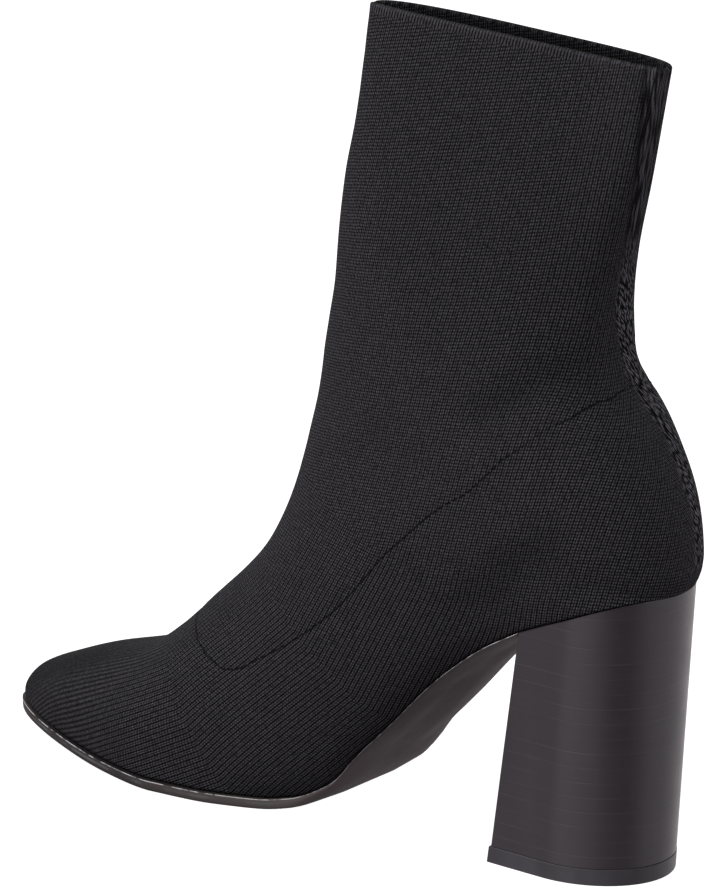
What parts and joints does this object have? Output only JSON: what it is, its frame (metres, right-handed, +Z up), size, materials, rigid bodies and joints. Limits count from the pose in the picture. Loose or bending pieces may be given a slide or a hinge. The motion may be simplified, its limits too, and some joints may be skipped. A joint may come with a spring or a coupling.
{
  "type": "boot",
  "caption": "Right ankle boot: hollow knitted sock upper with a slack, flattened shaft, lasted on a thin smooth outsole and a stacked block heel with a top lift",
  "frame": {"origin": "on the floor under the middle of the boot's overall length and width", "axes": "+X to the toe, +Y to the boot's inner side, +Z up"},
  "size_m": [0.2324, 0.076, 0.2397],
  "materials": {
    "knit": "matt ribbed knit",
    "insole": "matt",
    "outsole": "satin",
    "heel": "satin, fine horizontal stack lines",
    "lift": "satin"
  },
  "bodies": {
    "root": {"upper": "knit", "insole": "insole", "outsole": "outsole", "heel_block": "heel", "top_lift": "lift"}
  },
  "joints": []
}
